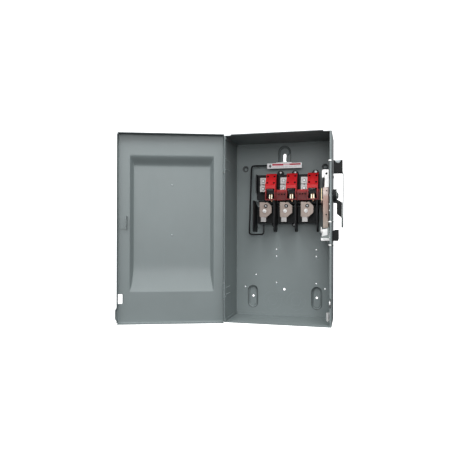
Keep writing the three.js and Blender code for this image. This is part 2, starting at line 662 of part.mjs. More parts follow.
function barrierRod() {
  const corners = [[-27, -26, 223.3], [-114.5, -27, 223.3], [-114.5, -64, -18.5], [-64, -64, -18.5],
    [-64, -64, 24]].map((p) => new THREE.Vector3(...p));
  const points = roundedPath(corners, 10, 4);
  return new THREE.ExtrudeGeometry(circle(0, 0, 2.8), {
    steps: points.length - 1, extrudePath: new PointCurve(points), curveSegments: 4 });
}
add('formed_rod', barrierRod(), moulded);

// ---------- mechanism ----------
const FRAME = { front: -126, x0: 140, x1: 158.5, z0: 3.5, z1: 191 };

function mechanismFrame() {
  const outline = bentStrip([[FRAME.x0, FRAME.front + 0.8], [FRAME.x1 - 0.8, FRAME.front + 0.8],
    [FRAME.x1 - 0.8, -24]], 1.6, 2);
  const holes = [rodX(HANDLE.y, HANDLE.z, 7, 150, 165)];
  for (const bolt of SIDE_BOLTS.slice(0, 2)) holes.push(rodX(bolt.y, bolt.z, 2.9, 150, 165, 5));
  for (const [x, z, r] of [[150.3, 177.8, 3], [151.4, 123, 2], [149.9, 46.5, 2]]) {
    holes.push(rodY(x, z, r, -115, -140, 5));
  }
  holes.push(alongX(circle(-60, 60, 18), 150, 165, 8));
  return cut(alongZ(outline, FRAME.z0, FRAME.z1), ...holes);
}
add('mechanism_frame', mechanismFrame(), yellowZinc);

function frameFoot() {
  const outline = bentStrip([[-130, -37], [-130, -29], [-84, -29], [-84, -12]], 1.6, 1.5);
  return alongX(outline, 134, 163);
}
add('frame_foot', frameFoot(), brightZinc);

const INTERLOCK = { y: -106, z: -8 };

function interlockLever() {
  const face = towardFront(polygon([[136, -22], [155, -26], [155, 2], [136, -1.5]]), -129.5, -131);
  const arm = alongX(linkOutline(-126.6, -10, 4, INTERLOCK.y, INTERLOCK.z, 7), 153.4, 155, 5);
  const hook = alongX(polygon([[-130, -16], [-172, -12], [-176, -8], [-176, 6], [-171, 6], [-168, -3],
    [-130, -4]]), 136, 138);
  return cut(join(face, arm, hook), rodX(INTERLOCK.y, INTERLOCK.z, 2.6, 150, 158, 5));
}
add('interlock_lever', interlockLever(), brightZinc);
add('interlock_pin', join(rodX(INTERLOCK.y, INTERLOCK.z, 2.2, 151, WALL_IN - GAP, 5),
  rodX(INTERLOCK.y, INTERLOCK.z, 5, 156, 161, 6)), zinc);

// ---------- handle train ----------
function handleCrank() {
  const x = CRANK_X.handle;
  const arm = alongX(linkOutline(HANDLE.y, HANDLE.z, 10, ...HANDLE_PIN, 6), x, x + CRANK_T, 7);
  const pin = rodX(...HANDLE_PIN, HANDLE_PIN_R, CRANK_X.link - 1.5, x + 1, 6);
  return cut(join(arm, pin), rodX(HANDLE.y, HANDLE.z, 6.3, x - 3, x + 6));
}
add('handle_crank', handleCrank(), yellowZinc);

const LINK_ANGLE = -20.2;              // the link keeps nearly this slope as the handle turns
const LINK_SLOT = { near: 73.4, far: 79.6, half: 5.6, wall: 1.7 };

function driveLink() {
  const x = CRANK_X.link;
  const along = (distance) => [HANDLE_PIN[0] + distance * Math.cos(rad(LINK_ANGLE)),
    HANDLE_PIN[1] + distance * Math.sin(rad(LINK_ANGLE))];
  const { near, far, half, wall } = LINK_SLOT;
  const outline = linkOutline(...HANDLE_PIN, 6.5, ...along(far), half + wall);
  const window = linkOutline(...along(near), half, ...along(far), half);
  return cut(alongX(outline, x, x + CRANK_T, 7),
    rodX(...HANDLE_PIN, HANDLE_PIN_R + GAP, x - 2, x + 6, 6),
    alongX(window, x - 2, x + 6, 6));
}
add('drive_link', driveLink(), yellowZinc);

add('handle_shaft', rodX(HANDLE.y, HANDLE.z, 6, CRANK_X.handle, 187), zinc);

function ring(inner, outer, x0, x1, segments = 16) {
  const points = [[inner, x0], [outer, x0], [outer, x1], [inner, x1], [inner, x0]];
  const profile = points.map(([r, x]) => new THREE.Vector2(r, x));
  const lathe = new THREE.LatheGeometry(profile, segments);
  return lathe.rotateZ(-Math.PI / 2).translate(0, HANDLE.y, HANDLE.z);
}
add('operating_spring', ring(6.8, 11, CRANK_X.handle + CRANK_T + GAP, 156.2), zinc);

function handleArm() {
  const hub = rodX(HANDLE.y, HANDLE.z, 21, RIGHT + 1.4, 180.5, 10);
  const arm = towardFront(polygon([[173, 84], [173, 104], [180, 97.3], [198.5, 86], [198.5, 35.5],
    [182.5, 49], [182.5, 84]]), HANDLE.y + 11, HANDLE.y - 11);
  return cut(join(hub, arm), rodX(HANDLE.y, HANDLE.z, 6.3, 160, 200));
}
add('handle_arm', handleArm(), moulded);

function handleStrap() {
  const flat = bentStrip([[201, 5], [201, 84], [202, 92], [202, 178], [196, 190], [196, 214]], 3.2, 3);
  const side = new THREE.Shape();
  side.absarc(HANDLE.y, 16, 11, Math.PI, Math.PI * 2, false);
  side.absarc(HANDLE.y, 203, 11, 0, Math.PI, false);
  return common(towardFront(flat, HANDLE.y + 15, HANDLE.y - 15), alongX(side, 180, 210, 7));
}
add('handle_strap', handleStrap(), zinc);

function handleGrip() {
  const grip = box(DOOR_RIGHT + 0.5, 200.5, HANDLE.y - 15, HANDLE.y + 15, 180.6, 221);
  const pocket = towardFront(bentStrip([[202, 160], [202, 178], [196, 190], [196, 216]], 4, 3),
    HANDLE.y + 11.4, HANDLE.y - 11.4);
  const thumb = rodY(185.6, 223, 10, HANDLE.y - 8, HANDLE.y - 20, 7);
  return cut(grip, pocket, thumb);
}
add('handle_grip', handleGrip(), moulded);

function shaftNut() {
  const nut = alongX(circle(HANDLE.y, HANDLE.z, 10), 181, 187, 3);
  const pointer = box(182, 184, HANDLE.y - 3, HANDLE.y + 3, HANDLE.z + 6, 148);
  return cut(join(nut, pointer), rodX(HANDLE.y, HANDLE.z, 6.3, 170, 200));
}
add('shaft_nut', shaftNut(), zinc);

add('off_stop', towardFront(polygon([[RIGHT + GAP, -38], [187, -38], [189, -30], [188.5, -1.5], [180, -1.5],
  [RIGHT + GAP, -6]]), -92, -126), moulded);

SIDE_BOLTS.forEach((bolt, i) => {
  const end = i < 2 ? 152 : 158;
  const head = rodX(bolt.y, bolt.z, 4.5, RIGHT + GAP, RIGHT + 3.8, 3);
  add(`side_bolt_${i + 1}`, join(head, rodX(bolt.y, bolt.z, 2.4, end, RIGHT + 1, 5),
    rodX(bolt.y, bolt.z, 4.5, WALL_IN - 5.3, WALL_IN - GAP, 3)), zinc);
});

export default root;
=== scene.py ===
import json
import math

import bmesh
import bpy
from mathutils import Matrix, Vector


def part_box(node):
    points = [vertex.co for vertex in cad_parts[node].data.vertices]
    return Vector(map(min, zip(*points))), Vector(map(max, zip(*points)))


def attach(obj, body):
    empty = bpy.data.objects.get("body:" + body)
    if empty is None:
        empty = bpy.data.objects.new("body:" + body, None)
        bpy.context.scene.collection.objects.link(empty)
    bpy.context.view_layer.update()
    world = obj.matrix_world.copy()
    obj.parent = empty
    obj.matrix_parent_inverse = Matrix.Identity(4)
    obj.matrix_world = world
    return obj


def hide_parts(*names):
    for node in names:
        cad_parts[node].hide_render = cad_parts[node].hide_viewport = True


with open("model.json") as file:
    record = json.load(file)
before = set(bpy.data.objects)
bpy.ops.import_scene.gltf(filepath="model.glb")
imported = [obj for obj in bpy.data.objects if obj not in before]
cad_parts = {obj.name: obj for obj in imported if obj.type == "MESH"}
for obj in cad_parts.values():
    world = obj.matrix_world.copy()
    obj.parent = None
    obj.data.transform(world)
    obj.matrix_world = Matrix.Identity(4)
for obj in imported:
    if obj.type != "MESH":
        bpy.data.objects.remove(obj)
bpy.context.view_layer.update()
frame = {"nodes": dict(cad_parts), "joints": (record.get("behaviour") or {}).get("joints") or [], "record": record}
NODES = frame["nodes"]
MM = 0.001


# ---------- camera, light and stage ----------
CAMERA_PLACE = (0.2292, -1.6824, -0.0071)
CAMERA_TURN = (90.25, 0.13, 14.43)      # tilt, roll and yaw, in degrees
LENS = 37.5                             # mm, on a 36 mm sensor
FLOOR_Z = -0.95
BACK_INSIDE = -9.6                      # inner face of the back wall, in mm
FOOT = {"x": 112.0, "z": -239.0, "straight": 21.5, "rim": 17.6, "floor": 12.2}
DIMPLE = {"x": 140.0, "z": 215.0, "rings": ((10.2, 0.0), (8.4, 2.2), (6.6, 4.4))}
ARCH = {"z": 270.6, "foot": 226.0, "rim": 21.6, "floor": 16.6}
PRESSED_FLOOR = -2.0                    # where a line lies on the floor of a pressing, in mm
HOOD = {"y": -57, "z": 190, "drop": 39, "rise": 26, "hole_x": 11.5, "hole_z": (180.0, 157.0), "hole_r": 3.5}


def make_camera():
    data = bpy.data.cameras.new("camera")
    data.lens = LENS
    data.sensor_width = 36.0
    camera = bpy.data.objects.new("camera", data)
    tilt, roll, yaw = (math.radians(a) for a in CAMERA_TURN)
    turn = Matrix.Rotation(yaw, 4, "Z") @ Matrix.Rotation(tilt, 4, "X") @ Matrix.Rotation(roll, 4, "Z")
    camera.matrix_world = Matrix.Translation(CAMERA_PLACE) @ turn
    bpy.context.scene.collection.objects.link(camera)
    bpy.context.scene.camera = camera


def area_light(name, place, target, size, power, spread=180.0):
    data = bpy.data.lights.new(name, "AREA")
    data.shape = "RECTANGLE"
    data.size, data.size_y = size
    data.energy = power
    data.spread = math.radians(spread)
    light = bpy.data.objects.new(name, data)
    light.location = place
    aim = Vector(target) - Vector(place)
    light.rotation_euler = aim.to_track_quat("-Z", "Y").to_euler()
    light.visible_camera = False
    bpy.context.scene.collection.objects.link(light)


def make_world():
    world = bpy.data.worlds.new("studio")
    world.use_nodes = True
    bpy.context.scene.world = world
    nodes, links = world.node_tree.nodes, world.node_tree.links
    nodes.clear()
    out = nodes.new("ShaderNodeOutputWorld")
    background = nodes.new("ShaderNodeBackground")
    coordinate = nodes.new("ShaderNodeTexCoord")
    split = nodes.new("ShaderNodeSeparateXYZ")
    ramp = nodes.new("ShaderNodeValToRGB")
    reach = nodes.new("ShaderNodeMapRange")
    reach.inputs["From Min"].default_value = -1.0
    ramp.color_ramp.elements[0].position = 0.44
    ramp.color_ramp.elements[0].color = (0.09, 0.092, 0.095, 1)
    ramp.color_ramp.elements[1].position = 0.80
    ramp.color_ramp.elements[1].color = (0.95, 0.96, 0.97, 1)
    links.new(coordinate.outputs["Generated"], split.inputs[0])
    links.new(split.outputs["Z"], reach.inputs["Value"])
    links.new(reach.outputs["Result"], ramp.inputs["Fac"])
    aside = nodes.new("ShaderNodeMapRange")
    aside.inputs["From Min"].default_value = -0.6
    aside.inputs["From Max"].default_value = 0.8
    aside.inputs["To Min"].default_value = 1.25
    aside.inputs["To Max"].default_value = 1.15
    links.new(split.outputs["X"], aside.inputs["Value"])
    links.new(aside.outputs["Result"], background.inputs["Strength"])
    links.new(ramp.outputs["Color"], background.inputs["Color"])
    links.new(background.outputs[0], out.inputs["Surface"])


def make_stage():
    mesh = bpy.data.meshes.new("floor")
    size, rise, back = 14.0, 9.0, 5.0
    sweep = [(-size, FLOOR_Z), (back - 2.0, FLOOR_Z)]
    for step in range(1, 9):
        angle = math.radians(90 * step / 8)
        sweep.append((back - 2.0 + 2.0 * math.sin(angle), FLOOR_Z + 2.0 * (1 - math.cos(angle))))
    sweep.append((back, rise))
    points = [(x, y, z) for y, z in sweep for x in (-size, size)]
    faces = [(2 * i, 2 * i + 1, 2 * i + 3, 2 * i + 2) for i in range(len(sweep) - 1)]
    mesh.from_pydata(points, [], faces)
    floor = bpy.data.objects.new("floor", mesh)
    for polygon in mesh.polygons:
        polygon.use_smooth = True
    finish = bpy.data.materials.new("floor")
    finish.use_nodes = True
    shader = finish.node_tree.nodes["Principled BSDF"]
    shader.inputs["Base Color"].default_value = (0.92, 0.92, 0.92, 1)
    shader.inputs["Roughness"].default_value = 0.9
    shader.inputs["Emission Color"].default_value = (1, 1, 1, 1)
    shader.inputs["Emission Strength"].default_value = 0.9
    mesh.materials.append(finish)
    bpy.context.scene.collection.objects.link(floor)
    floor.visible_diffuse = False
    floor.visible_glossy = False


def make_studio():
    scene = bpy.context.scene
    scene.view_settings.view_transform = "Standard"
    make_camera()
    make_world()
    make_stage()
    area_light("key", (0.1, -1.5, 2.1), (0, -0.1, 0), (2.4, 1.4), 62)
    area_light("front_fill", (0.5, -2.9, 0.6), (0, 0, 0), (1.8, 1.6), 38)


# ---------- materials ----------
class Surface:
    """One node material on the row's own coordinates, in metres."""

    def __init__(self, name, color, roughness, metallic=0.0):
        self.material = bpy.data.materials.new(name)
        self.material.use_nodes = True
        self.tree = self.material.node_tree
        self.shader = self.tree.nodes["Principled BSDF"]
        self.shader.inputs["Metallic"].default_value = metallic
        self.color = color
        self.roughness = roughness
        self.place = self.tree.nodes.new("ShaderNodeTexCoord").outputs["Object"]
        self.height = None

    def node(self, kind, **inputs):
        node = self.tree.nodes.new(kind)
        for key, value in inputs.items():
            socket = node.inputs[key]
            if isinstance(value, bpy.types.NodeSocket):
                self.tree.links.new(value, socket)
            else:
                socket.default_value = value
        return node

    def link(self, output, name):
        self.tree.links.new(output, self.shader.inputs[name])

    def noise(self, scale, detail=4.0, stretch=None, distortion=0.0, roughness=0.55):
        place = self.place
        if stretch:
            mapping = self.node("ShaderNodeMapping", Vector=place, Scale=stretch)
            place = mapping.outputs[0]
        texture = self.node("ShaderNodeTexNoise", Vector=place, Scale=scale, Detail=detail,
                            Roughness=roughness, Distortion=distortion)
        return texture.outputs["Fac"]

    def span(self, value, low, high, to_low, to_high):
        node = self.tree.nodes.new("ShaderNodeMapRange")
        self.tree.links.new(value, node.inputs["Value"])
        for key, number in (("From Min", low), ("From Max", high), ("To Min", to_low), ("To Max", to_high)):
            node.inputs[key].default_value = number
        return node.outputs["Result"]

    def mix(self, factor, a, b):
        node = self.tree.nodes.new("ShaderNodeMix")
        node.data_type = "RGBA"
        self.tree.links.new(factor, node.inputs["Factor"])
        for key, value in (("A", a), ("B", b)):
            socket = [s for s in node.inputs if s.name == key and s.type == "RGBA"][0]
            if isinstance(value, bpy.types.NodeSocket):
                self.tree.links.new(value, socket)
            else:
                socket.default_value = (*value, 1.0)
        return [s for s in node.outputs if s.type == "RGBA"][0]

    def math(self, operation, a, b=0.0):
        node = self.tree.nodes.new("ShaderNodeMath")
        node.operation = operation
        for socket, value in zip(node.inputs, (a, b)):
            if isinstance(value, bpy.types.NodeSocket):
                self.tree.links.new(value, socket)
            else:
                socket.default_value = value
        return node.outputs[0]

    def edges(self, radius):
        """1 on outer edges and 0 on flat stretches."""
        bevel = self.tree.nodes.new("ShaderNodeBevel")
        bevel.samples = 4
        bevel.inputs["Radius"].default_value = radius
        geometry = self.tree.nodes.new("ShaderNodeNewGeometry")
        dot = self.tree.nodes.new("ShaderNodeVectorMath")
        dot.operation = "DOT_PRODUCT"
        self.tree.links.new(bevel.outputs[0], dot.inputs[0])
        self.tree.links.new(geometry.outputs["Normal"], dot.inputs[1])
        return self.span(dot.outputs["Value"], 0.98, 0.82, 0.0, 1.0)

    def bump(self, height, distance, strength=1.0):
        node = self.node("ShaderNodeBump", Height=height, Strength=strength, Distance=distance)
        if self.height is not None:
            self.tree.links.new(self.height, node.inputs["Normal"])
        self.height = node.outputs[0]

    def done(self, color, roughness):
        self.link(color, "Base Color")
        self.link(roughness, "Roughness")
        if self.height is not None:
            self.link(self.height, "Normal")
        return self.material


def shade(color, factor):
    return tuple(min(1.0, c * factor) for c in color)


def paint(name="enclosure_paint", color=(0.168, 0.196, 0.198)):
    s = Surface(name, color, 0.4)
    s.shader.inputs["Specular IOR Level"].default_value = 0.35
    clouds = s.noise(5.0, 3.0)
    peel = s.noise(420.0, 3.0)
    specks = s.noise(1400.0, 2.0)
    tone = s.mix(s.span(clouds, 0.3, 0.7, 0.0, 1.0), shade(color, 0.94), shade(color, 1.05))
    tone = s.mix(s.span(specks, 0.62, 0.74, 0.0, 0.10), tone, shade(color, 1.5))
    rubs = s.noise(30.0, 6.0, stretch=(1.0, 1.0, 0.25), distortion=0.6)
    tone = s.mix(s.span(rubs, 0.62, 0.78, 0.0, 0.16), tone, shade(color, 1.3))
    tone = s.mix(s.math("MULTIPLY", s.edges(0.0012), 0.35), tone, shade(color, 1.8))
    rough = s.math("ADD", s.span(clouds, 0.3, 0.7, 0.36, 0.44), s.span(rubs, 0.5, 0.75, 0.0, 0.08))
    s.bump(peel, 0.00006, 0.5)
    return s.done(tone, rough)


def metal(name, color, rough, grain=(1.0, 1.0, 1.0), tint=None, blotch=60.0, metallic=1.0):
    """Plated or milled metal: blotches of tone, fine drawn lines, and bright worn edges."""
    s = Surface(name, color, rough, metallic)
    patches = s.noise(blotch, 5.0, distortion=0.4)
    lines = s.noise(900.0, 3.0, stretch=grain)
    tone = s.mix(s.span(patches, 0.35, 0.65, 0.0, 1.0), shade(color, 0.86), tint or shade(color, 1.08))
    tone = s.mix(s.span(lines, 0.4, 0.7, 0.0, 0.25), tone, shade(color, 0.72))
    tone = s.mix(s.math("MULTIPLY", s.edges(0.0006), 0.5), tone, shade(color, 1.35))
    roughness = s.math("ADD", s.span(patches, 0.3, 0.7, rough - 0.06, rough + 0.08),
                       s.span(lines, 0.4, 0.7, 0.0, 0.07))
    s.bump(lines, 0.00003, 0.35)
    return s.done(tone, roughness)


def frame_metal():
    """Dichromate over zinc, pink lower down and duller at the foot; nearly white at the top as a painted
    reflection.
    """
    s = Surface("yellow_zinc", (0.6, 0.45, 0.4), 0.42, 0.75)
    height = s.node("ShaderNodeSeparateXYZ", Vector=s.place).outputs["Z"]
    patches = s.noise(28.0, 5.0, distortion=0.8)
    lines = s.noise(900.0, 3.0, stretch=(1.0, 1.0, 0.05))
    level = s.math("ADD", height, s.span(patches, 0.3, 0.7, -0.02, 0.02))
    tone = s.mix(s.span(level, 0.02, 0.09, 0.0, 1.0), (0.26, 0.22, 0.19), (0.27, 0.18, 0.155))
    # Painted reflection: the frame's colour turns nearly white towards its top, by height.
    tone = s.mix(s.span(level, 0.10, 0.165, 0.0, 1.0), tone, (0.70, 0.65, 0.63))
    tone = s.mix(s.span(lines, 0.45, 0.7, 0.0, 0.30), tone, (0.20, 0.15, 0.13))
    s.bump(lines, 0.00003, 0.35)
    return s.done(tone, s.span(patches, 0.3, 0.7, 0.36, 0.50))


def plastic(name, color, rough, mottle=1.25, dust=0.0, gloss=0.5):
    """Moulded plastic: faint flow mottling, a fine spark-eroded grain and slightly paler edges."""
    s = Surface(name, color, rough)
    s.shader.inputs["Specular IOR Level"].default_value = gloss
    flow = s.noise(45.0, 4.0, distortion=1.2)
    grain = s.noise(1500.0, 2.0)
    tone = s.mix(s.span(flow, 0.3, 0.7, 0.0, 1.0), shade(color, 0.88), shade(color, mottle))
    if dust:
        tone = s.mix(s.span(s.noise(160.0, 6.0), 0.55, 0.8, 0.0, dust), tone, (0.25, 0.25, 0.24))
    tone = s.mix(s.math("MULTIPLY", s.edges(0.0007), 0.4), tone, shade(color, 2.0))
    roughness = s.math("ADD", s.span(flow, 0.3, 0.7, rough - 0.05, rough + 0.07),
                       s.span(grain, 0.4, 0.7, 0.0, 0.05))
    s.bump(grain, 0.00003, 0.4)
    return s.done(tone, roughness)


def red_moulding():
    """Red plastic with painted shade that darkens it towards the bridges between the hoods."""
    s = Surface("red_shield", (0.46, 0.008, 0.012), 0.36)
    s.shader.inputs["Specular IOR Level"].default_value = 0.3
    height = s.node("ShaderNodeSeparateXYZ", Vector=s.place).outputs["Z"]
    flow = s.noise(45.0, 4.0, distortion=1.2)
    grain = s.noise(1500.0, 2.0)
    tone = s.mix(s.span(flow, 0.3, 0.7, 0.0, 1.0), shade(s.color, 0.9), shade(s.color, 1.1))
    # Painted shade: the red darkens to about a quarter of its tone below about 0.13 m up.
    tone = s.mix(s.span(height, 0.122, 0.136, 1.0, 0.0), tone, shade(s.color, 0.24))
    tone = s.mix(s.math("MULTIPLY", s.edges(0.0008), 0.6), tone, shade(s.color, 1.5))
    s.bump(grain, 0.00003, 0.4)
    return s.done(tone, s.span(flow, 0.3, 0.7, 0.32, 0.44))


def make_finishes():
    return {
        "enclosure_paint": paint(),
        "zinc": metal("zinc", (0.46, 0.47, 0.47), 0.38, (1.0, 1.0, 0.06)),
        # Bright zinc: pale plating plus a painted reflection, as a near-white base colour with little metal.
        "bright_zinc": metal("bright_zinc", (0.90, 0.90, 0.89), 0.42, (1.0, 1.0, 0.06), metallic=0.25),
        "yellow_zinc": frame_metal(),
        "strap_steel": metal("strap_steel", (0.17, 0.19, 0.185), 0.45, (1.0, 1.0, 0.06), metallic=0.7),
        "aluminium": metal("aluminium", (0.34, 0.33, 0.325), 0.40, (0.08, 1.0, 1.0)),
        "tinned_copper": metal("tinned_copper", (0.27, 0.225, 0.20), 0.45, (1.0, 1.0, 0.1),
                               (0.31, 0.26, 0.235)),
        "copper": metal("copper", (0.70, 0.40, 0.26), 0.34, (1.0, 1.0, 0.1)),
        "brass": metal("brass", (0.76, 0.62, 0.36), 0.32, (1.0, 1.0, 0.1)),
        "black_moulding": plastic("black_moulding", (0.0045, 0.0052, 0.0062), 0.48, 1.6, 0.015, 0.22),
        "handle_black": plastic("handle_black", (0.0070, 0.0085, 0.0088), 0.50, 1.5, 0.015, 0.16),
        # Near black; the discs over the hood and frame holes use it as painted shade.
        "hole_black": plastic("hole_black", (0.002, 0.002, 0.002), 0.8, 1.2, 0.0, 0.1),
        "red_shield": red_moulding(),
        "label_white": plastic("label_white", (1.0, 0.985, 1.0), 0.45, 1.0),
        # A paler blue-grey paint for the door studs, hinge tabs and grip inlay.
        "pale_paint": paint("pale_paint", (0.36, 0.40, 0.41)),
        # Painted shade: near-black paint for the lines drawn in the creases of the back wall.
        "painted_crease_shade": paint("painted_crease_shade", (0.045, 0.052, 0.053)),
        "dark_steel": metal("dark_steel", (0.02, 0.018, 0.02), 0.45),
        "cream_plate": metal("cream_plate", (0.86, 0.80, 0.64), 0.42),
        "print_red": plastic("print_red", (0.52, 0.010, 0.035), 0.5, 1.05, 0.0, 0.2),
        "print_pink": plastic("print_pink", (0.92, 0.52, 0.57), 0.5, 1.03),
        "print_grey": plastic("print_grey", (0.60, 0.58, 0.60), 0.5, 1.05),
        "print_dark": plastic("print_dark", (0.012, 0.010, 0.012), 0.5, 1.2, 0.0, 0.2),
    }


# ---------- mesh tools ----------
def finish_piece(name, mesh, body, finish, bevel=0.0, angle=35.0, replaces=()):
    """Hangs a mesh on a body, gives it its finish and rounds its edges."""
    obj = bpy.data.objects.new(name, mesh)
    bpy.context.scene.collection.objects.link(obj)
    finishes = finish if isinstance(finish, (list, tuple)) else [finish]
    for material in finishes:
        mesh.materials.append(material)
    mesh.shade_smooth()
    mesh.set_sharp_from_angle(angle=math.radians(angle))
    if bevel:
        add_bevel(obj, bevel, angle)
    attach(obj, body)
    if replaces:
        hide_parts(*replaces)
    return obj


def add_bevel(obj, width, angle):
    bevel = obj.modifiers.new("edge", "BEVEL")
    bevel.width = width
    bevel.segments = 2
    bevel.limit_method = "ANGLE"
    bevel.angle_limit = math.radians(angle)
    bevel.harden_normals = True


class Build:
    """Gathers closed solids in one bmesh, in millimetres, and turns it into a mesh in metres."""

    def __init__(self):
        self.bm = bmesh.new()
        self.slot = 0

    def face(self, verts):
        face = self.bm.faces.new(verts)
        face.material_index = self.slot
        return face

    def loft(self, rings, close=True):
        """Joins rings of equally many points; the first and last ring are capped."""
        rows = [[self.bm.verts.new(point) for point in ring] for ring in rings]
        for a, b in zip(rows, rows[1:]):
            count = len(a)
            for i in range(count):
                j = (i + 1) % count
                self.face((a[i], a[j], b[j], b[i]))
        if close:
            self.face(list(reversed(rows[0])))
            self.face(rows[-1])

    def prism(self, outline, axis, start, end):
        """An outline in the plane across an axis, drawn from start to end."""
        def at(u, v, w):
            return {"x": (w, u, v), "y": (u, w, v), "z": (u, v, w)}[axis]
        self.loft([[at(u, v, w) for u, v in outline] for w in (start, end)])

    def box(self, x0, x1, y0, y1, z0, z1):
        self.prism([(x0, y0), (x1, y0), (x1, y1), (x0, y1)], "z", z0, z1)

    def turned(self, centre, axis, profile, steps=20, phase=0.0):
        """A turned solid: profile points are (distance along the axis, radius)."""
        direction = Vector(axis).normalized()
        side = direction.orthogonal().normalized()
        up = direction.cross(side)
        rings = []
        for along, radius in profile:
            ring = []
            for i in range(steps):
                angle = math.tau * i / steps + phase
                spoke = side * math.cos(angle) + up * math.sin(angle)
                ring.append(Vector(centre) + direction * along + spoke * max(radius, 0.02))
            rings.append(ring)
        self.loft(rings)

    def tube(self, points, radius, steps=12):
        """A round bar along a list of points."""
        rings = []
        last = None
        points = [Vector(p) for p in points]
        for i, point in enumerate(points):
            before = points[max(i - 1, 0)]
            after = points[min(i + 1, len(points) - 1)]
            direction = (after - before).normalized()
            side = direction.orthogonal() if last is None else last - direction * last.dot(direction)
            side = last = side.normalized()
            up = direction.cross(side)
            rings.append([point + side * radius * math.cos(math.tau * k / steps)
                          + up * radius * math.sin(math.tau * k / steps) for k in range(steps)])
        self.loft(rings)

    def mesh(self, name, move=None):
        bmesh.ops.recalc_face_normals(self.bm, faces=self.bm.faces)
        self.bm.transform(Matrix.Scale(MM, 4))
        if move is not None:
            self.bm.transform(move)
        mesh = bpy.data.meshes.new(name)
        self.bm.to_mesh(mesh)
        self.bm.free()
        return mesh


def dome(radius, height, steps=5):
    """The profile of a domed head."""
    rows = [(0.0, radius)]
    for i in range(steps + 1):
        angle = math.pi / 2 * i / steps
        rows.append((height * 0.35 + height * 0.65 * math.sin(angle), radius * math.cos(angle)))
    return rows


def socket_screw(build, centre, axis, radius, height, key):
    """A cylinder-head screw with a chamfered rim and a six-sided socket."""
    build.turned(centre, axis, [(0, radius), (height - 0.5, radius), (height, radius - 0.5),
                                (height, key + 0.35)], 24)
    direction = Vector(axis).normalized()
    build.turned(Vector(centre) + direction * (height - 1.6), axis, [(0, key * 0.6), (0.05, key)], 6)


# ---------- door ----------
HINGE = next(j for j in frame["joints"] if j["name"] == "door_hinge")
HINGE_PLACE = Vector(HINGE["pos_m"])
DOOR_OPEN = math.radians(-HINGE["range_deg"][0])
OPEN_DOOR = (Matrix.Translation(HINGE_PLACE) @ Matrix.Rotation(DOOR_OPEN, 4, Vector(HINGE["axis"]))
             @ Matrix.Translation(-HINGE_PLACE))
SHEET = 1.6
DOOR = {"left": -178.4, "right": 171.9, "top": 312.9, "bottom": -311.1, "face": -187.4, "deep": 25.0}
PAN = {"left": -144.7, "right": 133.0, "top": 243.0, "bottom": -207.7, "depth": 20.0, "side": 12.6,
       "slope": 35.0, "scoop": 100.0}
BUMP = {"top": -257.0, "bottom": -298.5, "slope": 6.0, "proud": 4.4}
SLOT = {"x0": 155.8, "x1": 169.8, "z0": -245.8, "z1": -215.3}
BEND = 2.2                              # inner bend radius of the door's flanges


def ease(value):
    """A fold with softened ends: 0 below 0 and 1 above 1."""
    value = min(max(value, 0.0), 1.0)
    soft = value * value * (3 - 2 * value)
    return 0.45 * value + 0.55 * soft


def soft_least(values, width):
    """The least of some lengths, rounded where two of them meet."""
    least = min(values)
    return least - width * math.log(sum(math.exp((least - v) / width) for v in values))


def pan_depth(x, z):
    """How far the pressed field stands forward of the door's rim at a place on the closed door."""
    across = min(x - PAN["left"], PAN["right"] - x) / PAN["side"]
    down = (PAN["top"] - z) / PAN["slope"]
    run = (PAN["bottom"] + PAN["scoop"] - z) / PAN["scoop"]
    if across <= 0 or down <= 0 or run >= 1:
        return 0.0
    scoop = 1.0 if run <= 0 else 1.0 - run * run
    depth = PAN["depth"]
    return max(0.0, soft_least([depth * ease(across), depth * ease(down), depth * scoop], 0.8))


def lines(stops):
    """Grid lines from (place, spacing) stops: each spacing holds from its stop to the next."""
    out = []
    for (start, step), (end, _) in zip(stops, stops[1:]):
        count = max(1, round(abs(end - start) / step))
        out += [start + (end - start) * i / count for i in range(count)]
    return out + [stops[-1][0]]


def flange_path(edge, inward, face, deep):
    """Rows round a bend and along a flange: (place, y) pairs, with inward +1 or -1."""
    rows = []
    for i in range(1, 5):
        angle = math.pi / 2 * i / 4
        rows.append((edge - inward * (1 - math.sin(angle)) * BEND, face + BEND * (1 - math.cos(angle))))
    steps = 6
    start = face + BEND
    rows += [(edge, start + (face + deep - start) * i / steps) for i in range(1, steps + 1)]
    return rows


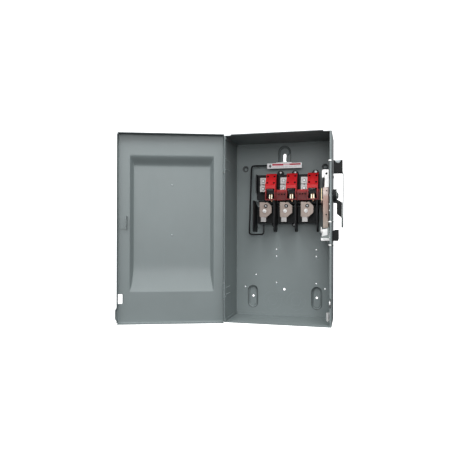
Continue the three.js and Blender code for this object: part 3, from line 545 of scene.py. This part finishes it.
def door_mesh():
    """One pressed sheet: the field, four folded flanges with open corners, the bump and the slot."""
    inner = {"x0": DOOR["left"] + SHEET, "x1": DOOR["right"] - SHEET,
             "z0": DOOR["bottom"] + SHEET, "z1": DOOR["top"] - SHEET}
    xs = lines([(inner["x0"] + BEND, 8), (PAN["left"] - 4, 2), (PAN["left"] + PAN["side"] + 6, 12),
                (PAN["right"] - PAN["side"] - 6, 2), (PAN["right"] + 4, 6), (SLOT["x0"], 4),
                (inner["x1"] - BEND, 4)])
    zs = lines([(inner["z0"] + BEND, 3), (SLOT["z0"], 10), (SLOT["z1"], 2), (PAN["bottom"] + 8, 4),
                (PAN["bottom"] + PAN["scoop"] + 8, 12), (PAN["top"] - PAN["slope"] - 6, 2.5),
                (PAN["top"] + 4, 8), (inner["z1"] - BEND, 8)])
    face = DOOR["face"]
    deep = DOOR["deep"] - SHEET
    hinge_deep = HINGE_PLACE.y / MM - 4.3 - face
    right = flange_path(inner["x1"], 1, face, deep)
    left = flange_path(inner["x0"], -1, face, hinge_deep)
    top = flange_path(inner["z1"], 1, face, deep)
    bottom = flange_path(inner["z0"], -1, face, deep)
    bm = bmesh.new()
    grid = {}
    for i, x in enumerate(xs):
        for j, z in enumerate(zs):
            grid[i, j] = bm.verts.new((x, face - pan_depth(x, z), z))
        for j, (z, y) in enumerate(top):
            grid[i, len(zs) + j] = bm.verts.new((x, y, z))
        for j, (z, y) in enumerate(bottom):
            grid[i, -1 - j] = bm.verts.new((x, y, z))
    for j, z in enumerate(zs):
        rise = min((BUMP["top"] - z) / BUMP["slope"], (z - BUMP["bottom"]) / BUMP["slope"])
        proud = BUMP["proud"] * ease(rise)
        for i, (x, y) in enumerate(right):
            grid[len(xs) + i, j] = bm.verts.new((x + proud * (1 if i > 2 else i / 3), y, z))
        for i, (x, y) in enumerate(left):
            grid[-1 - i, j] = bm.verts.new((x, y, z))
    for i, (x, y) in [(-1 - k, p) for k, p in enumerate(left[:4])] + \
            [(len(xs) + k, p) for k, p in enumerate(right[:4])]:
        for j, (z, deeper) in enumerate(top):
            grid[i, len(zs) + j] = bm.verts.new((x, max(y, deeper), z))
        for j, (z, deeper) in enumerate(bottom):
            grid[i, -1 - j] = bm.verts.new((x, max(y, deeper), z))
    columns = range(-len(left), len(xs) + len(right) - 1)
    rows = range(-len(bottom), len(zs) + len(top) - 1)
    for i in columns:
        for j in rows:
            corners = [grid.get(k) for k in ((i, j), (i + 1, j), (i + 1, j + 1), (i, j + 1))]
            if None in corners:
                continue
            middle = sum((v.co for v in corners), Vector()) / 4
            hole = SLOT["x0"] < middle.x < SLOT["x1"] and SLOT["z0"] < middle.z < SLOT["z1"]
            if hole and middle.y < face + 0.5:
                continue
            bm.faces.new(corners)
    bm.transform(Matrix.Scale(MM, 4))
    bm.transform(OPEN_DOOR)
    mesh = bpy.data.meshes.new("door_skin")
    bm.to_mesh(mesh)
    bm.free()
    return mesh


# ---------- pieces ----------
def box_of(*names):
    """The box round some CAD nodes at rest, in millimetres."""
    lows, highs = zip(*(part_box(name) for name in names))
    low = Vector(min(v[i] for v in lows) for i in range(3)) / MM
    high = Vector(max(v[i] for v in highs) for i in range(3)) / MM
    return low, high


def make_door(finishes):
    obj = finish_piece("door_pressing", door_mesh(), "door", finishes["enclosure_paint"],
                       angle=28, replaces=("door",))
    thick = obj.modifiers.new("sheet", "SOLIDIFY")
    thick.thickness = SHEET * MM
    thick.offset = 1.0
    thick.use_even_offset = True
    studs = Build()
    for x, z in ((-4.7, 147.0), (-4.7, -20.7)):
        studs.turned((x, DOOR["face"] - PAN["depth"] + 0.6, z), (0, 1, 0), dome(2.6, 2.4), 16)
    finish_piece("door_studs", studs.mesh("door_studs", OPEN_DOOR), "door",
                 finishes["pale_paint"])


def make_label(finishes):
    """A folded plate with plain coloured bands and a plain dark lozenge: it carries no words."""
    low, high = box_of("label_plate")
    low.z += 2.5
    front = low.y
    plate = Build()
    rows = [(front + 1.2, high.z), (front + 0.35, high.z - 0.4), (front + 0.12, high.z - 1.6),
            (front + 0.12, low.z + 0.8), (front + 0.4, low.z), (high.y, low.z), (high.y, high.z)]
    plate.loft([[(x, y, z) for y, z in rows] for x in (low.x, low.x + 0.6, high.x - 0.6, high.x)])
    middle = (low.z + high.z) / 2

    def band(slot, x0, x1, z0, z1):
        plate.slot = slot
        plate.box(x0, x1, front + 0.02, front + 0.3, z0, z1)

    band(1, low.x + 18, low.x + 57, middle + 1.8, middle + 6.4)
    band(1, high.x - 43, high.x - 4, middle + 1.8, middle + 6.4)
    band(2, low.x + 18, high.x - 4, middle + 6.6, high.z - 1.9)
    band(2, low.x + 58, high.x - 44, middle + 2.2, middle + 6.2)
    band(2, low.x + 18, low.x + 57, middle - 0.6, middle + 2.0)
    for i, z in enumerate((-2.4, -4.6, -6.8)):
        start = low.x + 18
        for k in range(9):
            width = 6.0 + 3.0 * ((3 * i + 2 * k) % 4)
            if start + width < high.x - 5:
                band(3, start, start + width, middle + z, middle + z + 0.9)
            start += width + 2.0
    x, z = low.x + 10.5, middle - 0.5
    plate.slot = 4
    plate.prism([(x - 5, z), (x, z - 7), (x + 5, z), (x, z + 7)], "y", front + 0.02, front + 0.3)
    plate.slot = 0
    plate.prism([(x - 1.0, z + 0.4), (x, z - 1.4), (x + 1.0, z + 0.4), (x, z + 2.2)], "y",
                front, front + 0.3)
    finish_piece("label", plate.mesh("label"), "enclosure",
                 [finishes[n] for n in ("label_white", "print_red", "print_pink", "print_grey",
                                        "print_dark")],
                 replaces=("label_plate",))


def make_terminal_screws(finishes):
    """A pale clamp screw inside a dark collar on each load terminal, and a pale set screw below it."""
    for side in ("left", "centre", "right"):
        low, high = box_of(f"{side}_terminal_screw")
        x, z = (low.x + high.x) / 2, (low.z + high.z) / 2
        face = box_of(f"{side}_load_terminal")[0].y
        collar = Build()
        collar.turned((x, face - 0.2, z), (0, -1, 0),
                      [(0, 6.2), (1.6, 6.2), (2.1, 5.7), (2.1, 3.2), (0.4, 3.0)], 24)
        finish_piece(f"{side}_screw_collar", collar.mesh("collar"), "enclosure",
                     finishes["dark_steel"], bevel=0.1 * MM)
        screw = Build()
        socket_screw(screw, (x, face - 0.5, z), (0, -1, 0), 2.8, 2.0, 0.9)
        finish_piece(f"{side}_clamp_screw", screw.mesh("clamp"), "enclosure", finishes["zinc"],
                     replaces=(f"{side}_terminal_screw",))
        setscrew = Build()
        place = (x - 4.3, face - 0.3, z - 17.2)
        setscrew.turned(place, (0, -1, 0), [(0, 6.2), (0.8, 6.2), (1.3, 5.6), (1.3, 4.4)], 24)
        setscrew.turned(place, (0, -1, 0), [(0, 3.4), (2.2, 3.4), (2.5, 3.0)], 24)
        setscrew.slot = 1
        setscrew.turned(place, (0, -1, 0), [(1.3, 4.3), (1.5, 4.3)], 20)
        # Painted shade: a dark six-sided disc on the head stands for the socket.
        setscrew.turned(Vector(place) + Vector((0.6, -2.2, -0.6)), (0, -1, 0), [(0, 1.5), (0.5, 1.5)], 6)
        finish_piece(f"{side}_set_screw", setscrew.mesh("set"), "enclosure",
                     [finishes["bright_zinc"], finishes["dark_steel"]])


def make_lug_screws(finishes):
    """Two set screws on each line lug, the tips of its jaw, and a black plate behind the hood window as painted
    shade.
    """
    for side in ("left", "centre", "right"):
        low, high = box_of(f"{side}_line_lug")
        x = (low.x + high.x) / 2 - 12
        build = Build()
        for z, face in ((167.0, low.y + 4), (140.0, low.y)):
            build.slot = 1
            build.turned((x, face - 0.3, z), (0, -1, 0), [(0, 5.6), (0.5, 5.6), (0.7, 5.2)], 20)
            build.slot = 0
            build.turned((x, face - 0.9, z), (0, -1, 0),
                         [(0, 4.4), (1.0, 4.4), (1.5, 3.9), (1.5, 2.2), (0.3, 2.0)], 18)
        finish_piece(f"{side}_lug_screws", build.mesh("lug_screws"), "enclosure",
                     [finishes["zinc"], finishes["dark_steel"]])
        plate = Build()
        centre = low.x + 23.3 + 18.5
        for dx in (-1, 1):
            plate.box(centre + dx * 1.9, centre + dx * 5.6, -78.0, -65.2, 100.5, 117)
        finish_piece(f"{side}_jaw_tips", plate.mesh("tips"), "enclosure", finishes["cream_plate"],
                     bevel=0.6 * MM)
        # Painted shade: a black plate darkens the top of each hood window.
        shade_plate = Build()
        shade_plate.prism([(centre - 11.5, 119.5), (centre + 11.5, 119.5), (centre + 11.5, 133),
                           (centre - 11.5, 133)], "y", -76.0, -74.5)
        finish_piece(f"{side}_window_shade", shade_plate.mesh("window_shade"), "enclosure",
                     finishes["black_moulding"], bevel=0.4 * MM)


def make_hood_hole_shade(finishes):
    """Black discs over the vent holes in the sloping fronts of the three hoods, as painted shade for the dark
    inside them.
    """
    slope = Vector((0, -HOOD["drop"], HOOD["rise"])).normalized()
    build = Build()
    for side in ("left", "centre", "right"):
        low, high = box_of(f"{side}_line_jaw")
        x = (low.x + high.x) / 2
        for z in HOOD["hole_z"]:
            y = HOOD["y"] - (HOOD["z"] - z) * HOOD["rise"] / HOOD["drop"]
            for dx in (-HOOD["hole_x"], HOOD["hole_x"]):
                build.turned(Vector((x + dx, y, z)) - slope * 0.5, slope,
                             [(0, HOOD["hole_r"]), (0.75, HOOD["hole_r"])], 20)
    finish_piece("hood_hole_shade", build.mesh("hood_hole_shade"), "enclosure",
                 finishes["hole_black"])


def stadium(x, z, half, straight, steps=12):
    """Places round a tall slot with round ends, closed by its first place."""
    arcs = [(x + half * math.cos(a), z + straight + half * math.sin(a))
            for a in (math.pi * i / steps for i in range(steps + 1))]
    arcs += [(x - half * math.cos(a), z - straight - half * math.sin(a))
             for a in (math.pi * i / steps for i in range(steps + 1))]
    return arcs + arcs[:1]


def make_crease_shade(finishes):
    """Dark lines of painted shade in the creases round the pressings in the back wall.

    The inner line of the arch leaves the sheet on its +x side, where the CAD pressing is cut short.
    """
    build = Build()
    wall = BACK_INSIDE

    def crease(outline, radius, y=wall):
        build.tube([(x, y, z) for x, z in outline], radius, 6)

    for x in (-FOOT["x"], FOOT["x"]):
        crease(stadium(x, FOOT["z"], FOOT["rim"], FOOT["straight"]), 0.9)
        crease(stadium(x, FOOT["z"], FOOT["floor"], FOOT["straight"]), 0.7, PRESSED_FLOOR)
    for x in (-DIMPLE["x"], DIMPLE["x"]):
        for radius, depth in DIMPLE["rings"]:
            crease(stadium(x, DIMPLE["z"], radius, 0.0), 1.0, wall + depth)
    for half, y in ((ARCH["rim"], wall), (ARCH["floor"], PRESSED_FLOOR)):
        arch = [(half * math.cos(a), ARCH["z"] + half * math.sin(a))
                for a in (math.pi * i / 20 for i in range(21))]
        crease([(half, ARCH["foot"])] + arch + [(-half, ARCH["foot"])], 1.0, y)
    finish_piece("creases", build.mesh("creases"), "enclosure", finishes["painted_crease_shade"])


def make_base_screws(finishes):
    """Screw heads in the bosses of the line base and in the load base."""
    build = Build()
    for x, radius in ((-12.0, 5.0), (38.8, 5.0), (109.0, 6.5)):
        build.turned((x, -25.3, 196.5), (0, -1, 0), dome(radius, 3.4), 20)
    for x in (36.0, -34.0):
        build.turned((x, -24.3, 15.5), (0, -1, 0), dome(4.6, 3.2), 20)
    finish_piece("base_screws", build.mesh("base_screws"), "enclosure", finishes["zinc"])


def make_wall_fittings(finishes):
    """Tabs by the hinges and small fasteners along the front lip of the handle-side wall."""
    wall = box_of("enclosure_wrap")[0].x + SHEET
    tabs = Build()
    for z in (231.0, 227.0, 197.5, 194.5, -193.0, -215.0, -221.0):
        y0, y1 = (-175.0, -163.0) if z in (231.0, 194.5, -221.0) else (-162.0, -112.0)
        tabs.loft([[(wall + 0.1, y, z - 0.9), (wall + 1.3, y, z - 0.5), (wall + 1.3, y, z + 0.5),
                    (wall + 0.1, y, z + 0.9)] for y in (y0, y0 + 2, y1 - 2, y1)])
    finish_piece("hinge_tabs", tabs.mesh("hinge_tabs"), "enclosure",
                 finishes["pale_paint"], bevel=0.2 * MM)
    ends = Build()
    for z, half in ((213.0, 1.7), (23.0, 1.9), (-49.4, 1.7)):
        ends.box(160.0, 168.0, -178.0, -177.3, z - half, z + half)
    for z in (77.0, 57.0):
        ends.turned((161.0, -176.0 + 1.5, z), (1, 0, 0), dome(2.2, 4.0), 12)
    finish_piece("lip_fasteners", ends.mesh("lip_fasteners"), "enclosure", finishes["bright_zinc"])


def make_mechanism(finishes):
    """A pale cap, black discs as painted shade for holes, levers and strips on the mechanism frame, and a dark
    plate below them as a painted shadow.
    """
    low, high = box_of("mechanism_frame")
    cap = Build()
    cap.prism([(low.x - 3.5, 187.5), (low.x - 0.5, 190.5), (high.x - 0.3, 190.5), (high.x - 0.3, 134),
               (low.x + 6, 134), (low.x + 6, 160), (low.x - 3.5, 166)], "y", low.y - 0.3, low.y - 1.5)
    finish_piece("frame_cap", cap.mesh("frame_cap"), "enclosure", finishes["bright_zinc"],
                 bevel=0.3 * MM)
    # Painted shade: black discs on the frame face stand for its holes.
    holes = Build()
    for x, z, r in ((150.6, 178.0, 3.4), (151.4, 123.0, 2.2), (149.9, 46.5, 2.2), (143.5, 170.0, 1.6)):
        holes.turned((x, low.y - (1.4 if z > 134 else 0.1), z), (0, -1, 0), [(0, r), (0.35, r)], 20)
    finish_piece("frame_hole_shade", holes.mesh("frame_hole_shade"), "enclosure",
                 finishes["hole_black"])
    # Painted shadow: a dark plate in front of the frame foot, below the interlock face.
    foot = box_of("interlock_lever", "frame_foot")[0].y
    shadow_piece = Build()
    shadow_piece.prism([(136.5, -23.6), (156.5, -18.6), (156.5, 6.0), (161.5, 4.0), (161.5, -28.4), (136.5, -27.6)],
              "y", foot - 0.3, foot - 1.1)
    finish_piece("interlock_shadow", shadow_piece.mesh("shadow"), "enclosure",
                 finishes["strap_steel"], bevel=0.2 * MM)
    lever = Build()
    lever.prism([(low.x - 1.5, 133), (low.x + 3.6, 135), (low.x + 4.6, 150), (low.x + 5.6, 165),
                 (low.x + 0.6, 167), (low.x - 1.5, 152)], "y", low.y - 2.0, low.y - 5.5)
    finish_piece("trip_lever", lever.mesh("trip_lever"), "enclosure",
                 finishes["black_moulding"], bevel=0.8 * MM)
    strip = Build()
    strip.prism([(134.4, -128.6), (136.0, -128.6), (136.3, -127.2), (134.4, -127.2)], "z", 92, 131)
    finish_piece("spring_strip", strip.mesh("spring_strip"), "enclosure", finishes["brass"],
                 bevel=0.3 * MM)


def make_handle_details(finishes):
    """The shaft nut and its pointer, the bent strap with its rivets, and the inlay in the grip."""
    y, z = -106.0, 108.0
    nuts = Build()
    nuts.turned((181.0, y, z), (1, 0, 0), [(0, 12.5), (1.2, 12.5), (1.5, 12.2)], 28)
    nuts.turned((182.4, y, z), (1, 0, 0), [(0, 10.2), (4.2, 10.2), (5.0, 9.4)], 6)
    nuts.turned((187.0, y, z), (1, 0, 0), [(0, 5.9), (0.2, 5.9), (0.9, 5.2)], 20)
    nuts.prism([(y - 3, z + 8), (y + 3, z + 8), (y + 1.6, 146.5), (y, 149), (y - 1.6, 146.5)], "x",
               181.6, 183.6)
    finish_piece("shaft_nut_and_pointer", nuts.mesh("nuts"), "handle", finishes["strap_steel"],
                 bevel=0.25 * MM, replaces=("shaft_nut",))
    low, high = box_of("handle_strap")
    strap = Build()
    outer = high.x
    outline = [(outer - 1.4, low.z), (outer - 0.4, low.z + 3), (outer - 0.4, 84), (outer, 91),
               (outer, 179),
               (outer - 6, 190.5), (outer - 6, high.z), (outer - 8, high.z), (outer - 8, 190),
               (outer - 2.2, 178.5), (outer - 2.2, 92), (outer - 2.8, 84), (outer - 4.0, 82),
               (outer - 4.0, 36),
               (outer - 6.6, 33), (outer - 6.6, low.z + 2), (outer - 5.2, low.z)]
    depths = [(low.y, 2.5), (low.y + 1.0, 0.6), (low.y + 3.0, 0.0), (high.y - 3.0, 0.0),
              (high.y - 1.0, 0.6), (high.y, 2.5)]
    middle = sum(z for _, z in outline) / len(outline)
    strap.loft([[(x, y, z + (inset if z < middle else -inset)) for x, z in outline] for y, inset in depths])
    finish_piece("strap", strap.mesh("strap"), "handle", finishes["strap_steel"],
                 bevel=0.2 * MM, replaces=("handle_strap",))
    low, high = box_of("handle_grip")
    moon = Build()
    arc = [(186.3 + 8.6 * math.cos(a), high.z - 0.6 + 8.6 * math.sin(a))
           for a in (-math.pi * i / 12 for i in range(13))]
    moon.prism(arc, "y", low.y - 0.2, low.y + 1.2)
    finish_piece("grip_inlay", moon.mesh("inlay"), "handle", finishes["pale_paint"],
                 bevel=0.3 * MM)
    rivets = Build()
    for rz in (22.0, 66.0, 196.0):
        outer = 196.0 if rz > 190 else 201.0
        rivets.turned((outer + 1.4, y, rz), (1, 0, 0), dome(3.4, 1.1), 18)
    finish_piece("strap_rivets", rivets.mesh("rivets"), "handle", finishes["bright_zinc"])


# ---------- CAD nodes that keep their shape ----------
def soften(node, width, segments=2, angle=30.0):
    """A small rounded edge on a CAD node, with smooth shading between flat faces."""
    obj = NODES[node]
    obj.data.shade_smooth()
    obj.data.set_sharp_from_angle(angle=math.radians(angle))
    bevel = obj.modifiers.new("edge", "BEVEL")
    bevel.width = width
    bevel.segments = segments
    bevel.limit_method = "ANGLE"
    bevel.angle_limit = math.radians(angle)
    bevel.harden_normals = True


def dress_nodes(finishes):
    for row in frame["record"]["subparts"]:
        obj = NODES[row["node"]]
        obj.data.materials.clear()
        slot = "strap_steel" if row["node"].startswith("side_bolt") else row["material_slot"]
        obj.data.materials.append(finishes[slot])
        soften(row["node"], 0.3 * MM)


make_studio()
FINISHES = make_finishes()
dress_nodes(FINISHES)
for make in (make_door, make_label, make_terminal_screws, make_lug_screws, make_hood_hole_shade, make_crease_shade,
             make_base_screws, make_wall_fittings, make_mechanism, make_handle_details):
    make(FINISHES)
